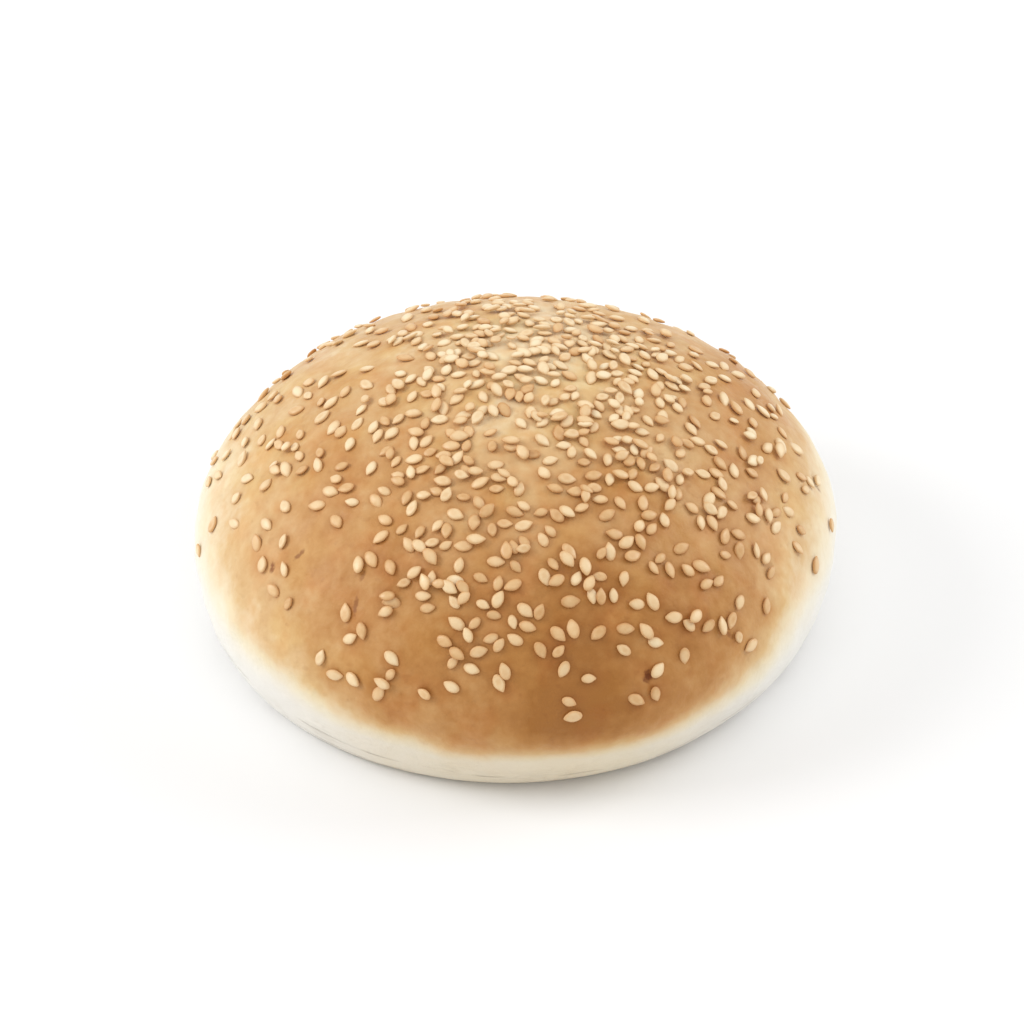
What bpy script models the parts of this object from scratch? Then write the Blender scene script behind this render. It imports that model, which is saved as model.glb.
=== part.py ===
"""A sesame-seeded hamburger bun in one piece: crust, pale side and flat base, with its seeds fused on.

Metres, +Z up. The origin is the middle of the flat base, and the front of the bun faces -Y.
"""

import math
import random

import bmesh
import bpy
import numpy as np
from mathutils import Matrix, Vector, noise

# Driving dimensions of the bun
BUN_RADIUS = 0.0510
BUN_HEIGHT = 0.0470
BELLY_HEIGHT = 0.0138
BASE_RADIUS = 0.0451
DOME_FULLNESS = 1.81
HEEL_FULLNESS = 1.80
DOME_LEAN = Vector((0.0002, 0.0006, 0.0))
DOME_RISE = BUN_HEIGHT - BELLY_HEIGHT

# How far the outline is from round: lobes, depth in metres, direction of one crest in degrees
BELLY_WAVES = ((1, 0.0006, 90.0), (2, 0.0002, 8.0), (3, 0.0007, 31.0), (4, 0.0004, 16.0))
BASE_WAVES = ((2, 0.0009, 21.0), (3, 0.0010, -11.0))

# Soft hollows and swellings of the crust
SWELL_DEPTH = 0.00042
SWELL_SIZE = 0.017
DIMPLE_DEPTH = 0.00016
DIMPLE_SIZE = 0.0062
SWELL_SHIFT = Vector((3.1, 7.7, 1.9))
CALM_HEIGHT = 0.0050

# Rings of points over the body, each dome ring with six points more than the one above it
DOME_RINGS = 15
SECTORS = 6
SIDE_RINGS = 4
CURVE_STEPS = 400

# Sesame seeds: a teardrop outline at these degrees round it, and a crown at these shares of its half sizes
SEED_LENGTH = 0.00280
SEED_WIDTH = 0.00172
SEED_THICKNESS = 0.00065
SEED_ROOT = 0.00060
SEED_TIP = 0.62
SEED_SIZES = (0.82, 1.14)
SEED_TILT = math.radians(14.0)
SEED_OUTLINE = (0.0, 58.0, 122.0, 180.0, 238.0, 302.0)
SEED_FLARE = 1.10
SEED_SINK = 0.00022
SEED_CROWN = ((0.34, 0.0), (-0.46, 0.0))
SEED_COUNT = 310
SEED_GAP = -0.00008
SEED_REACH = 0.995
SLOPE_STEP = 0.004
RANDOM_SEED = 6177

# Where the seeds fell: place across and back in bun radii, spread in radii, strength
SPRINKLE_FLOOR = 0.36
SPRINKLE_HEAPS = (
    (0.10, -0.04, 0.26, 0.60),
    (0.36, 0.04, 0.20, 0.35),
    (-0.20, 0.20, 0.18, 0.25),
    (-0.80, -0.10, 0.16, 0.40),
    (-0.52, -0.04, 0.12, 0.30),
    (0.84, -0.12, 0.16, 0.35),
    (-0.56, -0.40, 0.10, 0.55),
    (-0.14, -0.36, 0.14, 0.60),
    (0.28, -0.36, 0.15, 0.40),
    (-0.30, -0.64, 0.11, 0.65),
    (0.06, -0.70, 0.12, 0.50),
    (0.42, -0.66, 0.16, 0.50),
    (0.64, -0.60, 0.12, 0.35),
    (-0.48, -0.88, 0.09, 0.35),
    (-0.18, -0.88, 0.09, 0.60),
    (0.06, -0.90, 0.10, 0.50),
    (0.28, -0.84, 0.07, 0.35),
)
SPRINKLE_BARE = (
    (-0.40, 0.12, 0.09, 0.60),
    (0.52, -0.02, 0.09, 0.85),
    (-0.60, -0.22, 0.07, 0.65),
    (-0.38, -0.30, 0.06, 0.70),
    (0.02, -0.46, 0.07, 0.65),
    (-0.56, -0.64, 0.08, 0.75),
    (-0.82, -0.56, 0.10, 0.60),
    (0.50, -0.88, 0.09, 0.85),
    (0.82, -0.50, 0.08, 0.40),
)


def waves(table, angle):
    """Metres that the outline stands out at this angle round the bun."""
    return sum(
        depth * math.cos(lobes * (angle - math.radians(crest)))
        for lobes, depth, crest in table
    )


def belly_radius(angle):
    """Distance of the widest line from the axis."""
    return BUN_RADIUS + waves(BELLY_WAVES, angle)


def base_radius(angle):
    """Distance of the flat base's edge from the axis."""
    return BASE_RADIUS + waves(BELLY_WAVES, angle) + waves(BASE_WAVES, angle)


def swollen(point):
    """The point moved in or out by the soft unevenness of the crust, which dies away at the base."""
    centre = Vector((0.0, 0.0, BELLY_HEIGHT))
    outward = (point - centre).normalized()
    depth = SWELL_DEPTH * noise.noise(point / SWELL_SIZE + SWELL_SHIFT)
    depth += DIMPLE_DEPTH * noise.noise(point / DIMPLE_SIZE)
    return point + outward * depth * min(1.0, point.z / CALM_HEIGHT)


def dome_point(angle, share):
    """A point of the crust, share of the way from the top of the dome out to the widest line."""
    lift = (1.0 - share**DOME_FULLNESS) ** (1.0 / DOME_FULLNESS)
    reach = share * belly_radius(angle)
    point = Vector((reach * math.cos(angle), reach * math.sin(angle), BELLY_HEIGHT + DOME_RISE * lift))
    return swollen(point + DOME_LEAN * lift)


def side_point(angle, turn):
    """A point of the pale side: turn is 0 at the widest line and a quarter turn at the base's edge."""
    base = base_radius(angle)
    reach = base + (belly_radius(angle) - base) * math.cos(turn) ** (2.0 / HEEL_FULLNESS)
    height = BELLY_HEIGHT * (1.0 - math.sin(turn) ** (2.0 / HEEL_FULLNESS))
    return swollen(Vector((reach * math.cos(angle), reach * math.sin(angle), height)))


def even_shares(count):
    """Shares of the dome's radius that part its curve, from the top to the widest line, into equal lengths."""
    shares = [math.sin(0.5 * math.pi * i / CURVE_STEPS) for i in range(CURVE_STEPS + 1)]
    curve = [dome_point(0.0, share) for share in shares]
    lengths = [0.0]
    for start, end in zip(curve, curve[1:]):
        lengths.append(lengths[-1] + (end - start).length)
    wanted = [lengths[-1] * number / count for number in range(1, count + 1)]
    return np.interp(wanted, lengths, shares).tolist()


def join_rings(mesh, inner, outer):
    """Triangles between two rings of a dome, where the outer one has one point more in each sector."""
    per_outer = len(outer) // SECTORS
    per_inner = per_outer - 1
    for sector in range(SECTORS):
        for step in range(per_outer):
            out_here = outer[sector * per_outer + step]
            out_next = outer[(sector * per_outer + step + 1) % len(outer)]
            in_here = inner[(sector * per_inner + step) % len(inner)]
            mesh.faces.new((in_here, out_here, out_next))
            if step < per_inner:
                in_next = inner[(sector * per_inner + step + 1) % len(inner)]
                mesh.faces.new((in_here, out_next, in_next))


def body_mesh():
    """The bun without its seeds, as a closed mesh."""
    mesh = bmesh.new()
    ring = [mesh.verts.new(dome_point(0.0, 0.0))]
    for number, share in enumerate(even_shares(DOME_RINGS), start=1):
        count = SECTORS * number
        outer = [mesh.verts.new(dome_point(math.tau * i / count, share)) for i in range(count)]
        join_rings(mesh, ring, outer)
        ring = outer
    for number in range(1, SIDE_RINGS + 1):
        turn = 0.5 * math.pi * number / SIDE_RINGS
        lower = [mesh.verts.new(side_point(math.tau * i / len(ring), turn)) for i in range(len(ring))]
        for i, top in enumerate(ring):
            after = (i + 1) % len(ring)
            mesh.faces.new((top, lower[i], lower[after], ring[after]))
        ring = lower
    for point in ring:
        point.co.z = 0.0
    mesh.faces.new(ring[::-1])
    return mesh


def sprinkle_chance(across, back):
    """How likely a falling seed is to stay here, from 0 to 1."""
    chance = SPRINKLE_FLOOR
    for x, y, spread, strength in SPRINKLE_HEAPS:
        chance += strength * math.exp(-((across - x) ** 2 + (back - y) ** 2) / (2 * spread**2))
    for x, y, spread, strength in SPRINKLE_BARE:
        chance *= 1.0 - strength * math.exp(-((across - x) ** 2 + (back - y) ** 2) / (2 * spread**2))
    return min(1.0, chance)


def seed_place(across, back, turn, tilt, roll):
    """The matrix of a seed lying on the crust there: its own X along its length and Z out of the crust."""
    angle, share = math.atan2(back, across), math.hypot(across, back)
    outward = dome_point(angle, share + SLOPE_STEP) - dome_point(angle, share - SLOPE_STEP)
    onward = dome_point(angle + SLOPE_STEP, share) - dome_point(angle - SLOPE_STEP, share)
    up = outward.cross(onward).normalized()
    along = (Matrix.Rotation(turn, 3, up) @ outward).normalized()
    place = Matrix((along, up.cross(along), up)).transposed().to_4x4()
    place.translation = dome_point(angle, share)
    return place @ Matrix.Rotation(tilt, 4, "Y") @ Matrix.Rotation(roll, 4, "X")


def seed_spine(place, size):
    """Three points along a seed, for finding how near its neighbours are."""
    half = 0.5 * (SEED_LENGTH - SEED_WIDTH) * size
    return [place @ Vector((x, 0.0, 0.0)) for x in (-half, 0.0, half)]


def is_clear(spine, size, placed, gap):
    """Whether a seed lies clear of all those placed before it."""
    for _, other_size, other_spine in placed:
        if (spine[1] - other_spine[1]).length > 2 * SEED_LENGTH:
            continue
        room = 0.5 * SEED_WIDTH * (size + other_size) + gap
        if min((a - b).length for a in spine for b in other_spine) < room:
            return False
    return True


def sprinkled(count):
    """Places and sizes of the seeds, in the order in which they fell."""
    chance = random.Random(RANDOM_SEED)
    placed = []
    while len(placed) < count:
        across, back = chance.uniform(-1, 1), chance.uniform(-1, 1)
        turn = chance.uniform(0.0, math.tau)
        tilt = chance.uniform(-SEED_TILT, SEED_TILT)
        roll = chance.uniform(-SEED_TILT, SEED_TILT)
        size = chance.uniform(*SEED_SIZES)
        stays = chance.random() < sprinkle_chance(across, back)
        if not stays or not SLOPE_STEP < math.hypot(across, back) < SEED_REACH:
            continue
        place = seed_place(across, back, turn, tilt, roll)
        spine = seed_spine(place, size)
        if is_clear(spine, size, placed, SEED_GAP):
            placed.append((place, size, spine))
    return placed


def seed_rim(degrees, scale):
    """A point of a seed's teardrop outline, with the tip at +X."""
    angle = math.radians(degrees)
    taper = 1.0 - SEED_TIP * max(0.0, math.cos(angle)) ** 2
    return (
        0.5 * SEED_LENGTH * scale * math.cos(angle),
        0.5 * SEED_WIDTH * scale * math.sin(angle) * taper,
    )


def seed_mesh(material):
    """One plain seed: a teardrop rim just under the crust, a crown above it and a point below."""
    mesh = bmesh.new()
    rim = [mesh.verts.new((*seed_rim(d, SEED_FLARE), -SEED_SINK)) for d in SEED_OUTLINE]
    crown = [
        mesh.verts.new((0.5 * SEED_LENGTH * x, 0.5 * SEED_WIDTH * y, SEED_THICKNESS)) for x, y in SEED_CROWN
    ]
    root = mesh.verts.new((0.0, 0.0, -SEED_ROOT))
    for i, point in enumerate(rim):
        mesh.faces.new((root, rim[(i + 1) % len(rim)], point))
    bmesh.ops.convex_hull(mesh, input=rim + crown)
    lid = [face for face in mesh.faces if set(face.verts) <= set(rim)]
    bmesh.ops.delete(mesh, geom=lid, context="FACES_ONLY")
    bmesh.ops.recalc_face_normals(mesh, faces=mesh.faces)
    return finished(mesh, "sesame", material)


def finished(mesh, name, material):
    """The bmesh as mesh data with its material."""
    data = bpy.data.meshes.new(name)
    mesh.to_mesh(data)
    mesh.free()
    data.materials.append(material)
    return data


def surface(name, colour, roughness):
    """A plain material."""
    material = bpy.data.materials.new(name)
    material.use_nodes = True
    shader = material.node_tree.nodes["Principled BSDF"]
    shader.inputs["Base Color"].default_value = (*colour, 1.0)
    shader.inputs["Roughness"].default_value = roughness
    shader.inputs["Metallic"].default_value = 0.0
    return material


def clear_scene():
    for old in list(bpy.data.objects):
        bpy.data.objects.remove(old)


def add_seeds(bun):
    """Joins the seeds to the bun with one union."""
    data = seed_mesh(surface("sesame", (0.79, 0.60, 0.36), 0.45))
    seeds = bpy.data.collections.new("seeds")
    bpy.context.scene.collection.children.link(seeds)
    for number, (place, size, _) in enumerate(sprinkled(SEED_COUNT)):
        seed = bpy.data.objects.new(f"sesame_{number:03d}", data)
        seed.matrix_world = place @ Matrix.Scale(size, 4)
        seeds.objects.link(seed)
    union = bun.modifiers.new("seeds", "BOOLEAN")
    union.operation = "UNION"
    union.operand_type = "COLLECTION"
    union.collection = seeds
    bpy.context.view_layer.objects.active = bun
    bun.select_set(True)
    bpy.ops.object.modifier_apply(modifier=union.name)
    for seed in list(seeds.objects):
        bpy.data.objects.remove(seed)
    bpy.data.collections.remove(seeds)


def main():
    clear_scene()
    body = body_mesh()
    bmesh.ops.recalc_face_normals(body, faces=body.faces)
    data = finished(body, "bun", surface("crust", (0.55, 0.30, 0.12), 0.5))
    bun = bpy.data.objects.new("bun", data)
    bpy.context.scene.collection.objects.link(bun)
    add_seeds(bun)


main()
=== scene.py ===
"""The looks of a sesame-seeded hamburger bun: its crust, pale side, base and seeds.

Metres, +Z up. The origin is the middle of the flat base, and the front of the bun faces -Y.
"""

import math
import random

import bmesh
import bpy
import numpy as np
from mathutils import Matrix, Vector, kdtree, noise


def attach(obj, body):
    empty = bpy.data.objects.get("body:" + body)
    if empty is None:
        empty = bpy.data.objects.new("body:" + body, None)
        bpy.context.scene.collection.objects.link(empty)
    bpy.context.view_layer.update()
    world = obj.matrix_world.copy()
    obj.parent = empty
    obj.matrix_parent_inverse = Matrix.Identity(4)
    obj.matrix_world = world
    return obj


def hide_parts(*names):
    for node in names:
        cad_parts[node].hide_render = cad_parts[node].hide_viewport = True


# Driving dimensions of the bun, as in its solid
BUN_RADIUS = 0.0510
BUN_HEIGHT = 0.0470
BELLY_HEIGHT = 0.0138
BASE_RADIUS = 0.0451
DOME_FULLNESS = 1.81
HEEL_FULLNESS = 1.80
DOME_LEAN = Vector((0.0002, 0.0006, 0.0))
DOME_RISE = BUN_HEIGHT - BELLY_HEIGHT
BELLY_WAVES = ((1, 0.0006, 90.0), (2, 0.0002, 8.0), (3, 0.0007, 31.0), (4, 0.0004, 16.0))
BASE_WAVES = ((2, 0.0009, 21.0), (3, 0.0010, -11.0))
SWELL_DEPTH = 0.00042
SWELL_SIZE = 0.017
DIMPLE_DEPTH = 0.00016
DIMPLE_SIZE = 0.0062
SWELL_SHIFT = Vector((3.1, 7.7, 1.9))
CALM_HEIGHT = 0.0050

# Rings of points over the fine crust
DOME_RINGS = 106
SECTORS = 6
SIDE_RINGS = 44
CURVE_STEPS = 1200

# Sesame seeds, the first of them strewn as in the solid. Each is drawn a little short of its length
SEED_LENGTH = 0.00280
SEED_WIDTH = 0.00172
SEED_THICKNESS = 0.00068
SEED_LIFT = 0.00021
SEED_TRIM = 0.96
SEED_SIZES = (0.82, 1.14)
SEED_TILT = math.radians(14.0)
SEED_COUNT = 400
SEED_GAP = -0.00008
SEED_REACH = 0.995
SLOPE_STEP = 0.004
RANDOM_SEED = 6177

# Form of a seed: points round it and rings along it, how much it may narrow to its tip, its
# plumpness, bend and hollow, how dark the hollow's painted shade is, how it rounds off and where
# its rim of real tan and painted shade starts
SEED_ROUND = 14
SEED_ALONG = 10
SEED_TIPS = (0.34, 0.62)
SEED_PLUMP = (0.82, 1.15)
SEED_BEND = 0.10
SEED_HOLLOW = (-0.5, 0.35)
HOLLOW_BACK = 0.15
HOLLOW_SHADE = 2.6
TIP_CURVE = 1.6
FLANK_CURVE = 0.85
CROWN_CURVE = 0.8
RIM_START = 0.50

# Tone of a seed, from 0 for cream to 1 for dark: the draw, what is added to it, how much paler
# than the front ones painted light makes those on top and behind, the most for a plain seed, and
# the share and tone of toasted ones
TONE_DRAW = (1.6, 3.0)
TONE_START = 0.19
TONE_PAINTED_LIGHT = 0.33
TONE_MOST = 0.72
TOASTED_SHARE = 0.005
TOASTED_TONE = 0.85
TONE_SEED = 12

# Where the seeds fell: place across and back in bun radii, spread in radii, strength
SPRINKLE_FLOOR = 0.36
SPRINKLE_HEAPS = (
    (0.10, -0.04, 0.26, 0.60),
    (0.36, 0.04, 0.20, 0.35),
    (-0.20, 0.20, 0.18, 0.25),
    (-0.80, -0.10, 0.16, 0.40),
    (-0.52, -0.04, 0.12, 0.30),
    (0.84, -0.12, 0.16, 0.35),
    (-0.56, -0.40, 0.10, 0.55),
    (-0.14, -0.36, 0.14, 0.60),
    (0.28, -0.36, 0.15, 0.40),
    (-0.30, -0.64, 0.11, 0.65),
    (0.06, -0.70, 0.12, 0.50),
    (0.42, -0.66, 0.16, 0.50),
    (0.64, -0.60, 0.12, 0.35),
    (-0.48, -0.88, 0.09, 0.35),
    (-0.18, -0.88, 0.09, 0.60),
    (0.06, -0.90, 0.10, 0.50),
    (0.28, -0.84, 0.07, 0.35),
)
SPRINKLE_BARE = (
    (-0.40, 0.12, 0.09, 0.60),
    (0.52, -0.02, 0.09, 0.85),
    (-0.60, -0.22, 0.07, 0.65),
    (-0.38, -0.30, 0.06, 0.70),
    (0.02, -0.46, 0.07, 0.65),
    (-0.56, -0.64, 0.08, 0.75),
    (-0.82, -0.56, 0.10, 0.60),
    (0.50, -0.88, 0.09, 0.85),
    (0.82, -0.50, 0.08, 0.40),
)

# Seeds that came down last, over and against others: place in bun radii, spread and share of them
PILE_COUNT = 370
PILES = (
    (0.02, 0.06, 0.20, 8),
    (0.10, 0.22, 0.16, 4),
    (-0.18, 0.16, 0.16, 3),
    (-0.10, -0.12, 0.14, 2),
    (0.24, -0.10, 0.20, 4),
    (0.36, 0.16, 0.16, 2),
    (-0.20, -0.42, 0.14, 3),
    (0.14, -0.40, 0.14, 2),
    (0.38, -0.52, 0.16, 3),
    (0.62, -0.44, 0.14, 1),
    (-0.30, -0.66, 0.10, 2),
    (-0.12, -0.84, 0.10, 2),
    (0.10, -0.72, 0.12, 1),
    (-0.72, -0.02, 0.16, 1),
    (0.80, -0.10, 0.14, 1),
)

# The least distance to the nearest seed in seed widths, the lean of an overlapping seed, and how
# far and how soon it is raised
PILE_CLOSEST = 0.45
PILE_LEAN = 0.55
PILE_LIFT = 0.00054
PILE_RISE = 2.5

# Fine relief of the crust, as depth and size
PEEL = (0.000060, 0.0021)
DIMPLES = (0.000250, 0.0044)
RELIEF_TOP = 0.010

# The dent that each seed makes in the crust, and how dark the painted shade round it is in front and
# behind
SEED_DENT = 0.00016
SEED_DENT_REACH = 0.0016
DENT_SHADE_FRONT = 0.6
DENT_SHADE_BACK = 0.1

# Pores of the crust, and hollows of the base, as share and size, that end inside its edge
PORE_COUNT = 46
PORE_DEPTH = 0.00030
PORE_SIZES = (0.00022, 0.00055)
PORE_SEED = 7
BASE_DENT = 0.00035
BASE_DENTS = ((1.0, 0.009), (0.4, 0.0025))
BASE_INSET = 0.006

# The tan of the base begins inside its edge, along a wandering line
TAN_START = -0.0010
TAN_FULL = 0.0034
TAN_DRIFT = (0.0020, 0.012)

# Slanting wrinkles and long creases of the pale side
WRINKLE_SLANT = (0.0, math.radians(16.0), 0.0)
WRINKLE_SCALE = (0.30, 0.30, 1.9)
WRINKLE_TOP = 0.0095
SEAM_HEIGHTS = (0.0014, 0.0042)
SEAM_DRIFT = 0.0009
SEAM_WIDTH = 0.00030

# Dark marks in the crust: place across and back in bun radii, half length, half width, turn in
# degrees, depth of the pit, darkness
MARKS = (
    (0.390, -0.884, 0.00100, 0.00080, 20.0, 0.00045, 0.90),
    (0.414, -0.874, 0.00070, 0.00060, 0.0, 0.00035, 0.85),
    (-0.23, -0.17, 0.00070, 0.00060, 0.0, 0.00010, 0.35),
    (-0.746, -0.505, 0.00090, 0.00050, 80.0, 0.00020, 0.85),
    (-0.660, -0.530, 0.00120, 0.00040, 12.0, 0.00015, 0.65),
    (-0.482, -0.735, 0.00160, 0.00042, 72.0, 0.00022, 0.55),
    (-0.462, -0.675, 0.00100, 0.00040, 50.0, 0.00018, 0.42),
    (0.42, 0.59, 0.00070, 0.00050, 0.0, 0.00010, 0.60),
    (0.94, -0.02, 0.00060, 0.00050, 0.0, 0.00010, 0.70),
    (0.65, -0.71, 0.00090, 0.00035, 20.0, 0.00020, 0.45),
)

# Browner and paler stretches of the crust, partly real browning and partly painted light and
# shade: place across and back in bun radii, spread, strength
EVEN_BROWN = 0.58
BROWN_AND_PAINTED_LIGHT_PLACES = (
    (0.04, -0.90, 0.38, 0.26),
    (0.18, -0.94, 0.13, 0.06),
    (0.66, 0.36, 0.24, 0.04),
    (0.32, -0.88, 0.26, 0.08),
    (0.56, -0.62, 0.26, 0.13),
    (-0.46, -0.48, 0.20, 0.13),
    (-0.68, -0.42, 0.14, 0.05),
    (-0.32, -0.84, 0.20, 0.08),
    (-0.48, 0.00, 0.28, 0.07),
    (0.12, 0.06, 0.24, -0.21),
    (-0.12, -0.28, 0.15, -0.09),
    (-0.06, -0.52, 0.18, -0.13),
    (-0.30, -0.60, 0.10, -0.05),
    (-0.12, 0.42, 0.34, -0.07),
    (0.03, -0.77, 0.12, -0.08),
    (0.40, -0.28, 0.14, -0.05),
    (0.74, -0.02, 0.18, 0.15),
    (-0.69, -0.71, 0.13, -0.11),
    (0.56, 0.26, 0.28, 0.06),
    (-0.90, -0.34, 0.20, -0.09),
    (-0.88, 0.04, 0.30, -0.05),
    (0.92, -0.34, 0.22, -0.11),
    (0.78, 0.22, 0.12, 0.04),
)

# The browning: height of its lower edge and its softness in front and at the sides, how far the
# edge comes down again at the back, how it wanders as depth and size, and how brown the pale side is
EDGE_FRONT = 0.0100
EDGE_SIDE = 0.0230
SOFT_FRONT = 0.0024
SOFT_SIDE = 0.0075
SIDE_CURVE = 1.15
BACK_DROP = 0.50
EDGE_WAVES = ((0.0011, 0.011), (0.0004, 0.004))
PALE_FRONT = 0.16
PALE_BACK = 0.15

# Colours from pale to brown: of the crust, of the base and of the seeds
CRUST_STOPS = (
    (0.00, (0.86, 0.845, 0.80)),
    (0.13, (0.87, 0.80, 0.64)),
    (0.30, (0.825, 0.690, 0.465)),
    (0.50, (0.700, 0.468, 0.228)),
    (0.70, (0.572, 0.305, 0.110)),
    (0.85, (0.465, 0.210, 0.055)),
    (1.00, (0.365, 0.145, 0.027)),
)
BASE_STOPS = (
    (0.25, (0.74, 0.58, 0.36)),
    (0.50, (0.60, 0.38, 0.17)),
    (0.75, (0.44, 0.23, 0.085)),
)
SEED_STOPS = (
    (0.00, (0.90, 0.75, 0.50)),
    (0.30, (0.84, 0.63, 0.37)),
    (0.60, (0.76, 0.50, 0.25)),
    (0.82, (0.64, 0.38, 0.16)),
    (1.00, (0.36, 0.16, 0.05)),
)

# Mottling of the brown crust, as size and strength
MOTTLING = ((0.019, 0.38), (0.0052, 0.36), (0.0015, 0.18))

# What the colours of crust and seeds are multiplied by in places, how ragged the dark marks are,
# and the crust's faint sheen
AMBER = (1.0, 0.985, 0.87)
RUDDY = (1.0, 0.92, 0.85)
# Painted shade in the crust round the seeds
DENT_PAINTED_SHADE = (0.70, 0.56, 0.44)
FRECKLE_BROWN = (0.55, 0.36, 0.22)
# Painted shade on the front of the pale side
FRONT_PAINTED_SHADE = (0.88, 0.84, 0.81)
# Painted shade in the wrinkles and creases of the pale side
WRINKLE_PAINTED_SHADE = (0.70, 0.66, 0.61)
SEAM_PAINTED_SHADE = (0.58, 0.53, 0.49)
MARK_BROWN = (0.38, 0.21, 0.11)
# Real tan and painted shade at the seeds' rims, and painted shade in their hollows
RIM_TAN_AND_SHADE = (0.78, 0.58, 0.38)
MARK_RAGGED = 0.35
SHEEN_CREAM = (1.0, 0.96, 0.88)

# Camera of the photograph, with the place of the bun's middle in its frame
PICTURE = 1024
PIXELS_PER_RADIUS = 321.1
MIDDLE_PIXEL = (515.6, 485.4)
CAMERA_TILT = math.radians(36.0)
CAMERA_DISTANCE = 0.612
SENSOR = 36.0

# Soft boxes: name, degrees round from the front and up from the floor, size and power
LIGHTS = (
    ("top_light", 0.0, 80.0, 0.60, 0.8),
    ("left_light", -88.0, 34.0, 0.38, 2.5),
    ("right_light", 106.0, 30.0, 0.40, 1.8),
)
LIGHT_DISTANCE = 0.80

# Plain white floor and surroundings
FLOOR_SIZE = 6.0
FLOOR_WHITE = (0.90, 0.90, 0.90)
WHITE = (1.0, 1.0, 1.0)
SURROUNDING = 0.76


def waves(table, angle):
    """Metres that the outline stands out at this angle round the bun."""
    return sum(
        depth * math.cos(lobes * (angle - math.radians(crest)))
        for lobes, depth, crest in table
    )


def belly_radius(angle):
    """Distance of the widest line from the axis."""
    return BUN_RADIUS + waves(BELLY_WAVES, angle)


def base_radius(angle):
    """Distance of the flat base's edge from the axis."""
    return BASE_RADIUS + waves(BELLY_WAVES, angle) + waves(BASE_WAVES, angle)


def swollen(point):
    """The point moved in or out by the soft unevenness of the crust, which dies away at the base."""
    centre = Vector((0.0, 0.0, BELLY_HEIGHT))
    outward = (point - centre).normalized()
    depth = SWELL_DEPTH * noise.noise(point / SWELL_SIZE + SWELL_SHIFT)
    depth += DIMPLE_DEPTH * noise.noise(point / DIMPLE_SIZE)
    return point + outward * depth * min(1.0, point.z / CALM_HEIGHT)


def dome_point(angle, share):
    """A point of the crust, share of the way from the top of the dome out to the widest line."""
    lift = (1.0 - share**DOME_FULLNESS) ** (1.0 / DOME_FULLNESS)
    reach = share * belly_radius(angle)
    point = Vector((reach * math.cos(angle), reach * math.sin(angle), BELLY_HEIGHT + DOME_RISE * lift))
    return swollen(point + DOME_LEAN * lift)


def side_point(angle, turn):
    """A point of the pale side: turn is 0 at the widest line and a quarter turn at the base's edge."""
    base = base_radius(angle)
    reach = base + (belly_radius(angle) - base) * math.cos(turn) ** (2.0 / HEEL_FULLNESS)
    height = BELLY_HEIGHT * (1.0 - math.sin(turn) ** (2.0 / HEEL_FULLNESS))
    return swollen(Vector((reach * math.cos(angle), reach * math.sin(angle), height)))


def base_point(angle, share):
    """A point of the flat base, share of the way from its middle to its edge."""
    reach = share * base_radius(angle)
    return Vector((reach * math.cos(angle), reach * math.sin(angle), 0.0))


def even_shares(curve_point, steps, count):
    """Shares along a curve, given as a function of 0 to 1, that part it into equal lengths."""
    shares = [math.sin(0.5 * math.pi * i / steps) for i in range(steps + 1)]
    curve = [curve_point(share) for share in shares]
    lengths = [0.0]
    for start, end in zip(curve, curve[1:]):
        lengths.append(lengths[-1] + (end - start).length)
    wanted = [lengths[-1] * number / count for number in range(1, count + 1)]
    return np.interp(wanted, lengths, shares).tolist()


def sprinkle_chance(across, back):
    """How likely a falling seed is to stay here, from 0 to 1."""
    chance = SPRINKLE_FLOOR
    for x, y, spread, strength in SPRINKLE_HEAPS:
        chance += strength * math.exp(-((across - x) ** 2 + (back - y) ** 2) / (2 * spread**2))
    for x, y, spread, strength in SPRINKLE_BARE:
        chance *= 1.0 - strength * math.exp(-((across - x) ** 2 + (back - y) ** 2) / (2 * spread**2))
    return min(1.0, chance)


def seed_place(across, back, turn, tilt, roll):
    """The matrix of a seed lying there, with its own X along its length and Z out of the crust."""
    angle, share = math.atan2(back, across), math.hypot(across, back)
    outward = dome_point(angle, share + SLOPE_STEP) - dome_point(angle, share - SLOPE_STEP)
    onward = dome_point(angle + SLOPE_STEP, share) - dome_point(angle - SLOPE_STEP, share)
    up = outward.cross(onward).normalized()
    along = (Matrix.Rotation(turn, 3, up) @ outward).normalized()
    place = Matrix((along, up.cross(along), up)).transposed().to_4x4()
    place.translation = dome_point(angle, share)
    return place @ Matrix.Rotation(tilt, 4, "Y") @ Matrix.Rotation(roll, 4, "X")


def seed_spine(place, size):
    """Three points along a seed, for finding how near its neighbours are."""
    half = 0.5 * (SEED_LENGTH - SEED_WIDTH) * size
    return [place @ Vector((x, 0.0, 0.0)) for x in (-half, 0.0, half)]


def is_clear(spine, size, placed, gap):
    """Whether a seed lies clear of all those placed before it."""
    for _, other_size, other_spine in placed:
        if (spine[1] - other_spine[1]).length > 2 * SEED_LENGTH:
            continue
        room = 0.5 * SEED_WIDTH * (size + other_size) + gap
        if min((a - b).length for a in spine for b in other_spine) < room:
            return False
    return True


def sprinkled(count):
    """Places and sizes of the seeds, in the order in which they fell."""
    chance = random.Random(RANDOM_SEED)
    placed = []
    while len(placed) < count:
        across, back = chance.uniform(-1, 1), chance.uniform(-1, 1)
        turn = chance.uniform(0.0, math.tau)
        tilt = chance.uniform(-SEED_TILT, SEED_TILT)
        roll = chance.uniform(-SEED_TILT, SEED_TILT)
        size = chance.uniform(*SEED_SIZES)
        stays = chance.random() < sprinkle_chance(across, back)
        if not stays or not SLOPE_STEP < math.hypot(across, back) < SEED_REACH:
            continue
        place = seed_place(across, back, turn, tilt, roll)
        spine = seed_spine(place, size)
        if is_clear(spine, size, placed, SEED_GAP):
            placed.append((place, size, spine))
    return placed


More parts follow.
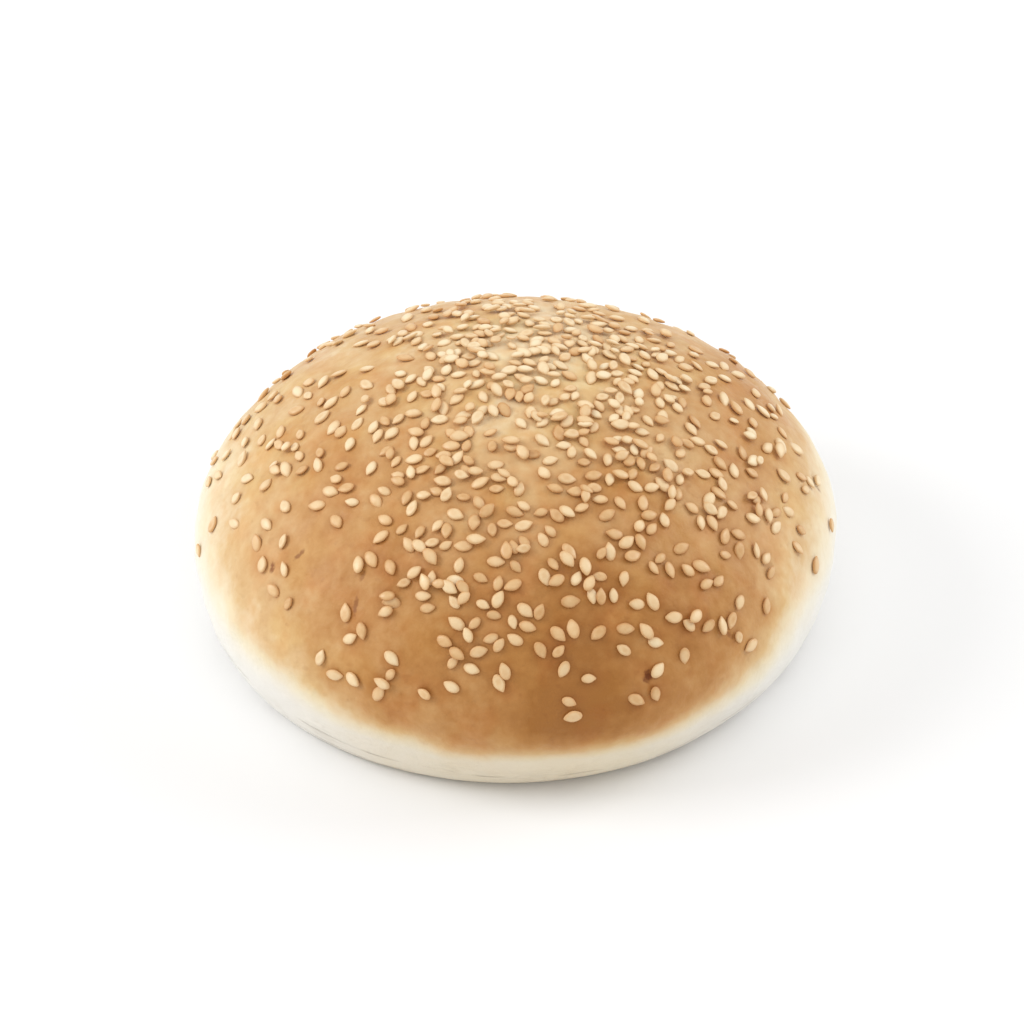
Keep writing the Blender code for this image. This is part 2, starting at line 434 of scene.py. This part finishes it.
def leaning(place, size, placed):
    """The place of a seed raised and leant against its nearest neighbour, or None if too close."""
    pairs = [(a, b) for _, _, spine in placed for a in seed_spine(place, size) for b in spine]
    here, near = min(pairs, key=lambda pair: (pair[0] - pair[1]).length)
    apart = (here - near).length / (SEED_WIDTH * size)
    if apart < PILE_CLOSEST:
        return None
    over = max(0.0, 1.0 - apart)
    along, _, up = (place.col[i].xyz for i in range(3))
    tipped = (up - (near - here).normalized() * PILE_LEAN * over).normalized()
    side = tipped.cross(along).normalized()
    raised = Matrix((side.cross(tipped), side, tipped)).transposed().to_4x4()
    raised.translation = place.translation + up * PILE_LIFT * min(1.0, PILE_RISE * over)
    return raised


def piled(count, placed):
    """More seeds over and against those placed."""
    chance = random.Random(RANDOM_SEED)
    added = []
    shares = [share for _, _, _, share in PILES]
    while len(added) < count:
        x, y, spread, _ = chance.choices(PILES, shares)[0]
        across, back = chance.gauss(x, spread), chance.gauss(y, spread)
        turn, size = chance.uniform(0.0, math.tau), chance.uniform(*SEED_SIZES)
        if not SLOPE_STEP < math.hypot(across, back) < SEED_REACH:
            continue
        place = leaning(seed_place(across, back, turn, 0.0, 0.0), size, placed + added)
        if place:
            added.append((place, size, seed_spine(place, size)))
    return added


def smooth(low, high, value):
    """0 below low, 1 above high, and a soft step between."""
    share = min(1.0, max(0.0, (value - low) / (high - low)))
    return share * share * (3.0 - 2.0 * share)


def bell(value, width):
    """1 at zero, falling away over width."""
    return math.exp(-((value / width) ** 2))


def side_share(angle):
    """0 at the front of the bun, 1 at its left and right, and between them at the back."""
    toward_side = min(1.0, 1.0 + math.sin(angle)) ** SIDE_CURVE
    return toward_side - BACK_DROP * smooth(0.25, 1.0, math.sin(angle))


def browning(point):
    """How brown the crust is at a point, from 0 at the pale side to 1."""
    angle = math.atan2(point.y, point.x)
    side = side_share(angle)
    edge = EDGE_FRONT + (EDGE_SIDE - EDGE_FRONT) * side
    edge += sum(depth * noise.noise(point / size) for depth, size in EDGE_WAVES)
    soft = SOFT_FRONT + (SOFT_SIDE - SOFT_FRONT) * side
    baked = 0.5 + 0.5 * math.tanh((point.z - edge) / soft)
    pale = PALE_BACK * smooth(0.1, 0.8, math.sin(angle))
    return max(PALE_FRONT * (1.0 - side) ** 5, pale, baked)


def dome_place(across, back):
    """The point of the dome at a place given in bun radii."""
    return dome_point(math.atan2(back, across), math.hypot(across, back))


def pits():
    """The dark marks and small pores, as a tree of their places and a list of sizes and depths."""
    chance = random.Random(PORE_SEED)
    tree = kdtree.KDTree(PORE_COUNT + len(MARKS))
    kinds = []
    for across, back, _, width, _, depth, _ in MARKS:
        tree.insert(dome_place(across, back), len(kinds))
        kinds.append((width, depth))
    for _ in range(PORE_COUNT):
        share = 0.97 * math.sqrt(chance.random())
        tree.insert(dome_point(chance.uniform(0.0, math.tau), share), len(kinds))
        kinds.append((chance.uniform(*PORE_SIZES), PORE_DEPTH))
    tree.balance()
    return tree, kinds


def extra_brown(point):
    """How much browner the crust is here, or paler where negative, partly as painted light and shade.
    """
    across, back = point.x / BUN_RADIUS, point.y / BUN_RADIUS
    return sum(
        strength * math.exp(-((across - x) ** 2 + (back - y) ** 2) / (2 * spread**2))
        for x, y, spread, strength in BROWN_AND_PAINTED_LIGHT_PLACES
    )


class Crust:
    """Gathers the points of the crust with their fine relief and what their colour depends on."""

    def __init__(self, seeds):
        self.mesh = bmesh.new()
        self.attributes = {name: [] for name in ("bake", "shade", "under", "brown", "grey")}
        self.pit_tree, self.pit_kinds = pits()
        self.seed_tree = kdtree.KDTree(len(seeds))
        for number, (place, _, _) in enumerate(seeds):
            self.seed_tree.insert(place.translation, number)
        self.seed_tree.balance()

    def relief(self, point):
        """How far the skin stands out here, and how dark the painted shade beside the seeds is."""
        high = sum(depth * noise.noise(point / size) for depth, size in (PEEL, DIMPLES))
        high *= smooth(0.0, RELIEF_TOP, point.z)
        _, _, seed_gap = self.seed_tree.find(point)
        dent = bell(seed_gap, SEED_DENT_REACH)
        behind = smooth(-0.7, 0.1, point.y / BUN_RADIUS)
        shade = DENT_SHADE_FRONT + (DENT_SHADE_BACK - DENT_SHADE_FRONT) * behind
        return high - SEED_DENT * dent, shade * dent

    def pit(self, point):
        """How far the nearest pore or mark sinks in here."""
        _, number, gap = self.pit_tree.find(point)
        size, depth = self.pit_kinds[number]
        return depth * bell(gap, size)

    def skin(self, point, angle):
        """Adds a point of the dome or side."""
        bake = browning(point)
        high, shade = self.relief(point)
        outward = (point - Vector((0.0, 0.0, BELLY_HEIGHT))).normalized()
        raised = point + outward * (high - self.pit(point))
        # Painted shade: the pale side greyer toward the front
        grey = max(0.0, -math.sin(angle)) ** 3 * (1.0 - bake)
        # Partly real browning, partly painted light and shade
        return self.add(raised, bake=bake, shade=shade, brown=extra_brown(point) * bake, grey=grey)

    def foot(self, point):
        """Adds a point of the base, which is a little hollow here and there and pale at its rim."""
        rough = sum(share * max(0.0, noise.noise(point / size)) for share, size in BASE_DENTS)
        gap = base_radius(math.atan2(point.y, point.x)) - math.hypot(point.x, point.y)
        raised = point + Vector((0.0, 0.0, BASE_DENT * rough * smooth(0.0, BASE_INSET, gap)))
        full = TAN_FULL + TAN_DRIFT[0] * noise.noise(point / TAN_DRIFT[1])
        return self.add(raised, under=smooth(TAN_START, full, gap))

    def add(self, point, **values):
        """Adds a point with the values of its attributes, which are 0 where not given."""
        for name, kept in self.attributes.items():
            kept.append(values.get(name, 0.0))
        return self.mesh.verts.new(point)

    def finished(self, name):
        """The crust as an object with its attributes."""
        data = bpy.data.meshes.new(name)
        bmesh.ops.recalc_face_normals(self.mesh, faces=self.mesh.faces)
        self.mesh.to_mesh(data)
        self.mesh.free()
        for label, kept in self.attributes.items():
            data.attributes.new(label, "FLOAT", "POINT").data.foreach_set("value", kept)
        data.shade_smooth()
        return link(name, data)


def link(name, data):
    """A new object in the scene."""
    made = bpy.data.objects.new(name, data)
    bpy.context.scene.collection.objects.link(made)
    return made


def join_rings(mesh, inner, outer):
    """Triangles between rings of a disk, where the outer one has one point more in each sector."""
    per_outer = len(outer) // SECTORS
    per_inner = per_outer - 1
    for sector in range(SECTORS):
        for step in range(per_outer):
            out_here = outer[sector * per_outer + step]
            out_next = outer[(sector * per_outer + step + 1) % len(outer)]
            in_here = inner[(sector * per_inner + step) % len(inner)]
            mesh.faces.new((in_here, out_here, out_next))
            if step < per_inner:
                in_next = inner[(sector * per_inner + step + 1) % len(inner)]
                mesh.faces.new((in_here, out_next, in_next))


def add_dome(crust):
    """The dome down to its widest line, whose ring of points is returned."""
    ring = [crust.skin(dome_point(0.0, 0.0), 0.0)]
    shares = even_shares(lambda share: dome_point(0.0, share), CURVE_STEPS, DOME_RINGS)
    for number, share in enumerate(shares, start=1):
        angles = [math.tau * i / (SECTORS * number) for i in range(SECTORS * number)]
        outer = [crust.skin(dome_point(angle, share), angle) for angle in angles]
        join_rings(crust.mesh, ring, outer)
        ring = outer
    return ring


def add_side(crust, ring):
    """The side from the widest line to the base's edge, whose ring of points is returned."""
    angles = [math.tau * i / len(ring) for i in range(len(ring))]
    quarter = 0.5 * math.pi
    shares = even_shares(lambda share: side_point(0.0, quarter * share), CURVE_STEPS, SIDE_RINGS)
    for share in shares:
        lower = [crust.skin(side_point(angle, quarter * share), angle) for angle in angles]
        for i, top in enumerate(ring):
            after = (i + 1) % len(ring)
            crust.mesh.faces.new((top, lower[i], lower[after], ring[after]))
        ring = lower
    return ring


def add_base(crust, edge):
    """The flat base inside the edge ring."""
    outer = edge
    for number in range(DOME_RINGS - 1, 0, -1):
        angles = [math.tau * i / (SECTORS * number) for i in range(SECTORS * number)]
        inner = [crust.foot(base_point(angle, number / DOME_RINGS)) for angle in angles]
        join_rings(crust.mesh, inner, outer)
        outer = inner
    join_rings(crust.mesh, [crust.foot(Vector((0.0, 0.0, 0.0)))], outer)


def node(tree, kind, values=(), **settings):
    """A new shader node with its settings, and with values or links for its inputs."""
    made = tree.nodes.new(kind)
    for name, value in settings.items():
        setattr(made, name, value)
    for name, value in dict(values).items():
        if isinstance(value, bpy.types.NodeSocket):
            tree.links.new(value, made.inputs[name])
        else:
            made.inputs[name].default_value = value
    return made


def maths(tree, operation, first, second=0.0, clamp=False):
    """The result of an operation on two numbers or sockets."""
    made = node(tree, "ShaderNodeMath", {0: first, 1: second}, operation=operation, use_clamp=clamp)
    return made.outputs[0]


def fit(tree, value, low, high, to_low=0.0, to_high=1.0):
    """A value brought from one range to another, and held in it."""
    values = {"Value": value, "From Min": low, "From Max": high, "To Min": to_low, "To Max": to_high}
    return node(tree, "ShaderNodeMapRange", values).outputs[0]


def mixed(tree, factor, first, second, blend="MIX"):
    """Two colours mixed."""
    values = {0: factor, 6: first, 7: second}
    return node(tree, "ShaderNodeMix", values, data_type="RGBA", blend_type=blend).outputs[2]


def colour(red, green, blue):
    """An opaque colour."""
    return (red, green, blue, 1.0)


def ramp(tree, value, stops):
    """A colour ramp with these places and colours."""
    made = node(tree, "ShaderNodeValToRGB", {0: value})
    elements = made.color_ramp.elements
    for element, (place, shade) in zip(elements, (stops[0], stops[-1])):
        element.position = place
        element.color = colour(*shade)
    for place, shade in stops[1:-1]:
        elements.new(place).color = colour(*shade)
    return made.outputs[0]


def speckle(tree, place, size, detail=2.0, roughness=0.5):
    """Noise with features of this size in metres, from about 0 to 1."""
    values = {"Vector": place, "Scale": 1.0 / size, "Detail": detail, "Roughness": roughness}
    return node(tree, "ShaderNodeTexNoise", values).outputs["Fac"]


def attribute(tree, name):
    """The value of a point attribute."""
    return node(tree, "ShaderNodeAttribute", attribute_name=name).outputs["Fac"]


def new_material(name):
    """A material with its tree, shader and object coordinates."""
    made = bpy.data.materials.new(name)
    made.use_nodes = True
    tree = made.node_tree
    place = node(tree, "ShaderNodeTexCoord").outputs["Object"]
    return made, tree, tree.nodes["Principled BSDF"], place


def crust_level(tree, place):
    """How brown the crust is, with its mottling and its painted light and shade."""
    bake = attribute(tree, "bake")
    level = maths(tree, "ADD", maths(tree, "MULTIPLY", bake, EVEN_BROWN), attribute(tree, "brown"))
    for size, strength in MOTTLING:
        cloud = maths(tree, "SUBTRACT", speckle(tree, place, size), 0.5)
        cloud = maths(tree, "MULTIPLY", cloud, maths(tree, "MULTIPLY", bake, strength))
        level = maths(tree, "ADD", level, cloud)
    return level


def marks(tree, place):
    """How dark the marks in the crust are, from 0 to 1."""
    ragged = fit(tree, speckle(tree, place, 0.0007, 2.0), 0.3, 0.7, -MARK_RAGGED, MARK_RAGGED)
    darkest = 0.0
    for across, back, length, width, turn, _, darkness in MARKS:
        values = {
            "Vector": place,
            "Location": dome_place(across, back),
            "Rotation": (0.0, 0.0, math.radians(turn)),
            "Scale": (length, width, length),
        }
        mapped = node(tree, "ShaderNodeMapping", values, vector_type="TEXTURE").outputs[0]
        away = node(tree, "ShaderNodeVectorMath", {0: mapped}, operation="LENGTH").outputs["Value"]
        dark = fit(tree, maths(tree, "ADD", away, ragged), 0.5, 1.15, darkness, 0.0)
        darkest = maths(tree, "MAXIMUM", dark, darkest)
    return darkest


def pale_share(tree, low):
    """How pale the side is, up to low, which is 1 or less."""
    browned = maths(tree, "ADD", attribute(tree, "bake"), attribute(tree, "under"))
    return maths(tree, "SUBTRACT", low, browned)


def seams(tree, place):
    """Long creases low round the pale side, from 0 to 1, broken here and there."""
    height = node(tree, "ShaderNodeSeparateXYZ", {0: place}).outputs["Z"]
    drift = fit(tree, speckle(tree, place, 0.016, 1.0), 0.3, 0.7, -SEAM_DRIFT, SEAM_DRIFT)
    height = maths(tree, "ADD", height, drift)
    lines = 0.0
    for level in SEAM_HEIGHTS:
        gap = maths(tree, "ABSOLUTE", maths(tree, "SUBTRACT", height, level))
        lines = maths(tree, "MAXIMUM", fit(tree, gap, 0.0, SEAM_WIDTH, 1.0, 0.0), lines)
    broken = fit(tree, speckle(tree, place, 0.010, 2.0), 0.44, 0.56)
    lines = maths(tree, "MULTIPLY", lines, broken)
    return maths(tree, "MULTIPLY", lines, pale_share(tree, 1.0), clamp=True)


def wrinkles(tree, place):
    """Fine slanting wrinkles of the pale side, from 0 to 1, lying in patches."""
    values = {"Vector": place, "Rotation": WRINKLE_SLANT, "Scale": WRINKLE_SCALE}
    turned = node(tree, "ShaderNodeMapping", values).outputs[0]
    ridges = maths(tree, "SUBTRACT", speckle(tree, turned, 0.0016, 1.0), 0.5)
    lines = fit(tree, maths(tree, "ABSOLUTE", ridges), 0.0, 0.055, 1.0, 0.0)
    patches = fit(tree, speckle(tree, place, 0.012, 1.0), 0.42, 0.60)
    height = node(tree, "ShaderNodeSeparateXYZ", {0: place}).outputs["Z"]
    low = fit(tree, height, 0.5 * WRINKLE_TOP, WRINKLE_TOP, 1.0, 0.0)
    lines = maths(tree, "MULTIPLY", lines, patches)
    return maths(tree, "MULTIPLY", lines, pale_share(tree, low), clamp=True)


def crust_colour(tree, place, wrinkled, creased):
    """The crust's colour: brown above, cream at the side and tan below, with all that tints it."""
    bake = attribute(tree, "bake")
    baked = ramp(tree, crust_level(tree, place), CRUST_STOPS)
    base = ramp(tree, speckle(tree, place, 0.012, 4.0, 0.6), BASE_STOPS)
    skin = mixed(tree, attribute(tree, "under"), baked, base)
    amber = fit(tree, speckle(tree, place, 0.0085, 1.0), 0.45, 0.65)
    ruddy = fit(tree, speckle(tree, place, 0.0060, 2.0), 0.48, 0.66)
    freckles = fit(tree, speckle(tree, place, 0.0016, 1.0), 0.66, 0.74, 0.0, 0.14)
    tints = (
        (amber, bake, AMBER),
        (ruddy, bake, RUDDY),
        # Painted shade round the seeds
        (attribute(tree, "shade"), 0.50, DENT_PAINTED_SHADE),
        (freckles, bake, FRECKLE_BROWN),
        # Painted shade on the front of the pale side
        (attribute(tree, "grey"), 1.0, FRONT_PAINTED_SHADE),
        # Painted shade in the wrinkles and creases, beside their bump
        (wrinkled, 0.26, WRINKLE_PAINTED_SHADE),
        (creased, 0.60, SEAM_PAINTED_SHADE),
        (marks(tree, place), 1.0, MARK_BROWN),
    )
    for where, strength, tint in tints:
        factor = maths(tree, "MULTIPLY", where, strength)
        skin = mixed(tree, factor, skin, colour(*tint), "MULTIPLY")
    return skin


def crust_grain(tree, place, wrinkled, creased):
    """The height of the crust's finest relief, in depths of the bump."""
    grain = maths(tree, "ADD", speckle(tree, place, 0.0009, 3.0, 0.6), speckle(tree, place, 0.0024))
    grain = maths(tree, "ADD", grain, maths(tree, "MULTIPLY", speckle(tree, place, 0.0055), 2.2))
    grain = maths(tree, "SUBTRACT", grain, maths(tree, "MULTIPLY", wrinkled, 0.55))
    return maths(tree, "SUBTRACT", grain, maths(tree, "MULTIPLY", creased, 1.5))


def crust_material():
    """Baked crust: cream below, amber at its edge and golden brown above, with a tan base."""
    made, tree, shader, place = new_material("crust")
    wrinkled = wrinkles(tree, place)
    creased = seams(tree, place)
    tree.links.new(crust_colour(tree, place, wrinkled, creased), shader.inputs["Base Color"])
    dull = fit(tree, speckle(tree, place, 0.004, 3.0), 0.3, 0.7, 0.44, 0.60)
    tree.links.new(dull, shader.inputs["Roughness"])
    grain = crust_grain(tree, place, wrinkled, creased)
    bump = node(tree, "ShaderNodeBump", {"Height": grain, "Strength": 0.90, "Distance": 0.00016})
    tree.links.new(bump.outputs[0], shader.inputs["Normal"])
    shader.inputs["Specular IOR Level"].default_value = 0.26
    shader.inputs["Coat Weight"].default_value = 0.10
    shader.inputs["Coat Roughness"].default_value = 0.42
    shader.inputs["Sheen Weight"].default_value = 0.10
    shader.inputs["Sheen Roughness"].default_value = 0.45
    shader.inputs["Sheen Tint"].default_value = colour(*SHEEN_CREAM)
    return made


def sesame_material():
    """Hulled sesame, cream to pale gold with a few toasted ones."""
    made, tree, shader, place = new_material("sesame")
    tone = attribute(tree, "tone")
    cloud = maths(tree, "MULTIPLY", maths(tree, "SUBTRACT", speckle(tree, place, 0.0012), 0.5), 0.35)
    skin = ramp(tree, maths(tree, "ADD", tone, cloud, clamp=True), SEED_STOPS)
    # Real tan and painted shade at the rims, and painted shade in the hollows
    tan_and_shade = maths(tree, "MULTIPLY", attribute(tree, "tan_and_shade"), 0.75)
    skin = mixed(tree, tan_and_shade, skin, colour(*RIM_TAN_AND_SHADE), "MULTIPLY")
    tree.links.new(skin, shader.inputs["Base Color"])
    dull = fit(tree, speckle(tree, place, 0.002), 0.3, 0.7, 0.32, 0.44)
    tree.links.new(dull, shader.inputs["Roughness"])
    bump = node(tree, "ShaderNodeBump", {"Height": speckle(tree, place, 0.0005), "Distance": 0.00004})
    tree.links.new(bump.outputs[0], shader.inputs["Normal"])
    shader.inputs["Specular IOR Level"].default_value = 0.45
    return made


def floor_material():
    """A plain white studio floor."""
    made, _, shader, _ = new_material("studio_floor")
    shader.inputs["Base Color"].default_value = colour(*FLOOR_WHITE)
    shader.inputs["Roughness"].default_value = 0.9
    return made


def seed_point(along, turn, breadth, form):
    """A point of a seed of half sizes 1, and its darkening: tan and painted shade at the rim, painted
    shade in a hollow.
    """
    plump, bend, dent = form
    rounding = math.sqrt(1.0 - along**2)
    across = math.cos(turn) * breadth
    flank = math.copysign(abs(math.sin(turn)) ** FLANK_CURVE, math.sin(turn))
    high = flank * breadth**CROWN_CURVE * plump
    hollow = dent * math.exp(-4.0 * (across**2 + (along + HOLLOW_BACK) ** 2)) * (high > 0)
    tan_and_shade = smooth(RIM_START, 1.0, math.hypot(along, math.cos(turn) * rounding))
    return along, across + bend * rounding**2, high - hollow, max(tan_and_shade, HOLLOW_SHADE * hollow)


def seed_shape(chance):
    """The points of one seed from tail to tip, ring by ring, each with its tan and painted shade."""
    plump = chance.uniform(*SEED_PLUMP)
    bend = chance.uniform(-SEED_BEND, SEED_BEND)
    tip = chance.uniform(*SEED_TIPS)
    dent = max(0.0, chance.uniform(*SEED_HOLLOW))
    shape = [(-1.0, 0.0, 0.0, 1.0)]
    for i in range(1, SEED_ALONG):
        along = -math.cos(math.pi * i / SEED_ALONG)
        breadth = math.sqrt(1.0 - along**2) * (1.0 - tip * max(0.0, along) ** TIP_CURVE)
        turns = [math.tau * k / SEED_ROUND for k in range(SEED_ROUND)]
        shape += [seed_point(along, turn, breadth, (plump, bend, dent)) for turn in turns]
    shape.append((1.0, 0.0, 0.0, 1.0))
    return shape


def seed_faces(first, last):
    """The faces of a seed whose points run from first to last."""
    faces = []
    for k in range(SEED_ROUND):
        after = (k + 1) % SEED_ROUND
        faces.append((first, first + 1 + after, first + 1 + k))
        faces.append((last, last - SEED_ROUND + k, last - SEED_ROUND + after))
        for low in range(first + 1, last - SEED_ROUND, SEED_ROUND):
            high = low + SEED_ROUND
            faces.append((low + k, low + after, high + after, high + k))
    return faces


def seed_tone(place, chance):
    """How tan a seed is, made paler toward the back as painted light, and now and then toasted."""
    painted_light = smooth(-0.6, 0.2, place.translation.y / BUN_RADIUS)
    tone = chance.betavariate(*TONE_DRAW) + TONE_START - TONE_PAINTED_LIGHT * painted_light
    return TOASTED_TONE if chance.random() < TOASTED_SHARE else min(TONE_MOST, tone)


def make_seeds(seeds):
    """All the seeds as one mesh, each with a tone of its own."""
    chance = random.Random(TONE_SEED)
    points, faces, tans_and_shades, tones = [], [], [], []
    for place, size, _ in seeds:
        scale = 0.5 * size * Vector((SEED_LENGTH * SEED_TRIM, SEED_WIDTH, SEED_THICKNESS))
        first = len(points)
        for along, across, high, tan_and_shade in seed_shape(chance):
            local = Vector((along * scale.x, across * scale.y, high * scale.z + SEED_LIFT))
            points.append(place @ local)
            tans_and_shades.append(tan_and_shade)
        faces += seed_faces(first, len(points) - 1)
        tones += [seed_tone(place, chance)] * (len(points) - first)
    data = bpy.data.meshes.new("sesame_seeds")
    data.from_pydata(points, [], faces)
    data.attributes.new("tone", "FLOAT", "POINT").data.foreach_set("value", tones)
    data.attributes.new("tan_and_shade", "FLOAT", "POINT").data.foreach_set("value", tans_and_shades)
    data.shade_smooth()
    made = link("sesame_seeds", data)
    made.data.materials.append(sesame_material())
    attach(made, "root")
    return made


def make_crust(seeds):
    """The bun's skin, which stands for the solid."""
    crust = Crust(seeds)
    edge = add_side(crust, add_dome(crust))
    for point in edge:
        point.co.z = 0.0
    add_base(crust, edge)
    made = crust.finished("bun_crust")
    made.data.materials.append(crust_material())
    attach(made, "root")
    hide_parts("bun")
    return made


def make_floor():
    """A wide pale floor."""
    bpy.ops.mesh.primitive_plane_add(size=FLOOR_SIZE)
    floor = bpy.context.object
    floor.name = "studio_floor"
    floor.data.materials.append(floor_material())


def soft_light(name, azimuth, rise, size, power):
    """A square area light that faces the bun. Azimuth 0 is the front, and 90 the right."""
    data = bpy.data.lights.new(name, "AREA")
    data.shape = "SQUARE"
    data.size = size
    data.energy = power
    light = link(name, data)
    turn, lift = math.radians(azimuth), math.radians(rise)
    level = math.cos(lift)
    back = Vector((math.sin(turn) * level, -math.cos(turn) * level, math.sin(lift)))
    light.location = Vector((0.0, 0.0, 0.5 * BUN_HEIGHT)) + back * LIGHT_DISTANCE
    light.rotation_mode = "QUATERNION"
    light.rotation_quaternion = back.to_track_quat("Z", "Y")
    light.visible_camera = False


def make_lights():
    """Soft boxes above, at the left and at the right, and an even white surrounding."""
    for light in LIGHTS:
        soft_light(*light)
    world = bpy.data.worlds.new("surrounding")
    bpy.context.scene.world = world
    world.use_nodes = True
    background = world.node_tree.nodes["Background"]
    background.inputs["Color"].default_value = colour(*WHITE)
    background.inputs["Strength"].default_value = SURROUNDING


def make_camera():
    """The photograph's view of the bun."""
    data = bpy.data.cameras.new("camera")
    camera = link("camera", data)
    back = Vector((0.0, -math.cos(CAMERA_TILT), math.sin(CAMERA_TILT)))
    camera.location = Vector((0.0, 0.0, 0.5 * BUN_HEIGHT)) + back * CAMERA_DISTANCE
    camera.rotation_mode = "QUATERNION"
    camera.rotation_quaternion = back.to_track_quat("Z", "Y")
    data.sensor_width = SENSOR
    data.lens = SENSOR * PIXELS_PER_RADIUS * CAMERA_DISTANCE / (BUN_RADIUS * PICTURE)
    data.shift_x = (0.5 * PICTURE - MIDDLE_PIXEL[0]) / PICTURE
    data.shift_y = (MIDDLE_PIXEL[1] - 0.5 * PICTURE) / PICTURE
    bpy.context.scene.camera = camera


def plain_colours():
    """The view without a film look."""
    scene = bpy.context.scene
    scene.view_settings.view_transform = "Standard"
    scene.view_settings.look = "None"


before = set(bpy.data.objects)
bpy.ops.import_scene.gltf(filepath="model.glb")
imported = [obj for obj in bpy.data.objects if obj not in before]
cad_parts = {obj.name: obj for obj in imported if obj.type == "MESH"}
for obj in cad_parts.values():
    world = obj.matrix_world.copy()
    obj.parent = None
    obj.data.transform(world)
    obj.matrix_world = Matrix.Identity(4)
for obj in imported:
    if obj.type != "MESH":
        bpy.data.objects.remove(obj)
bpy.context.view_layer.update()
make_camera()
make_lights()
plain_colours()
make_floor()
strewn = sprinkled(SEED_COUNT)
strewn += piled(PILE_COUNT, strewn)
make_crust(strewn)
make_seeds(strewn)
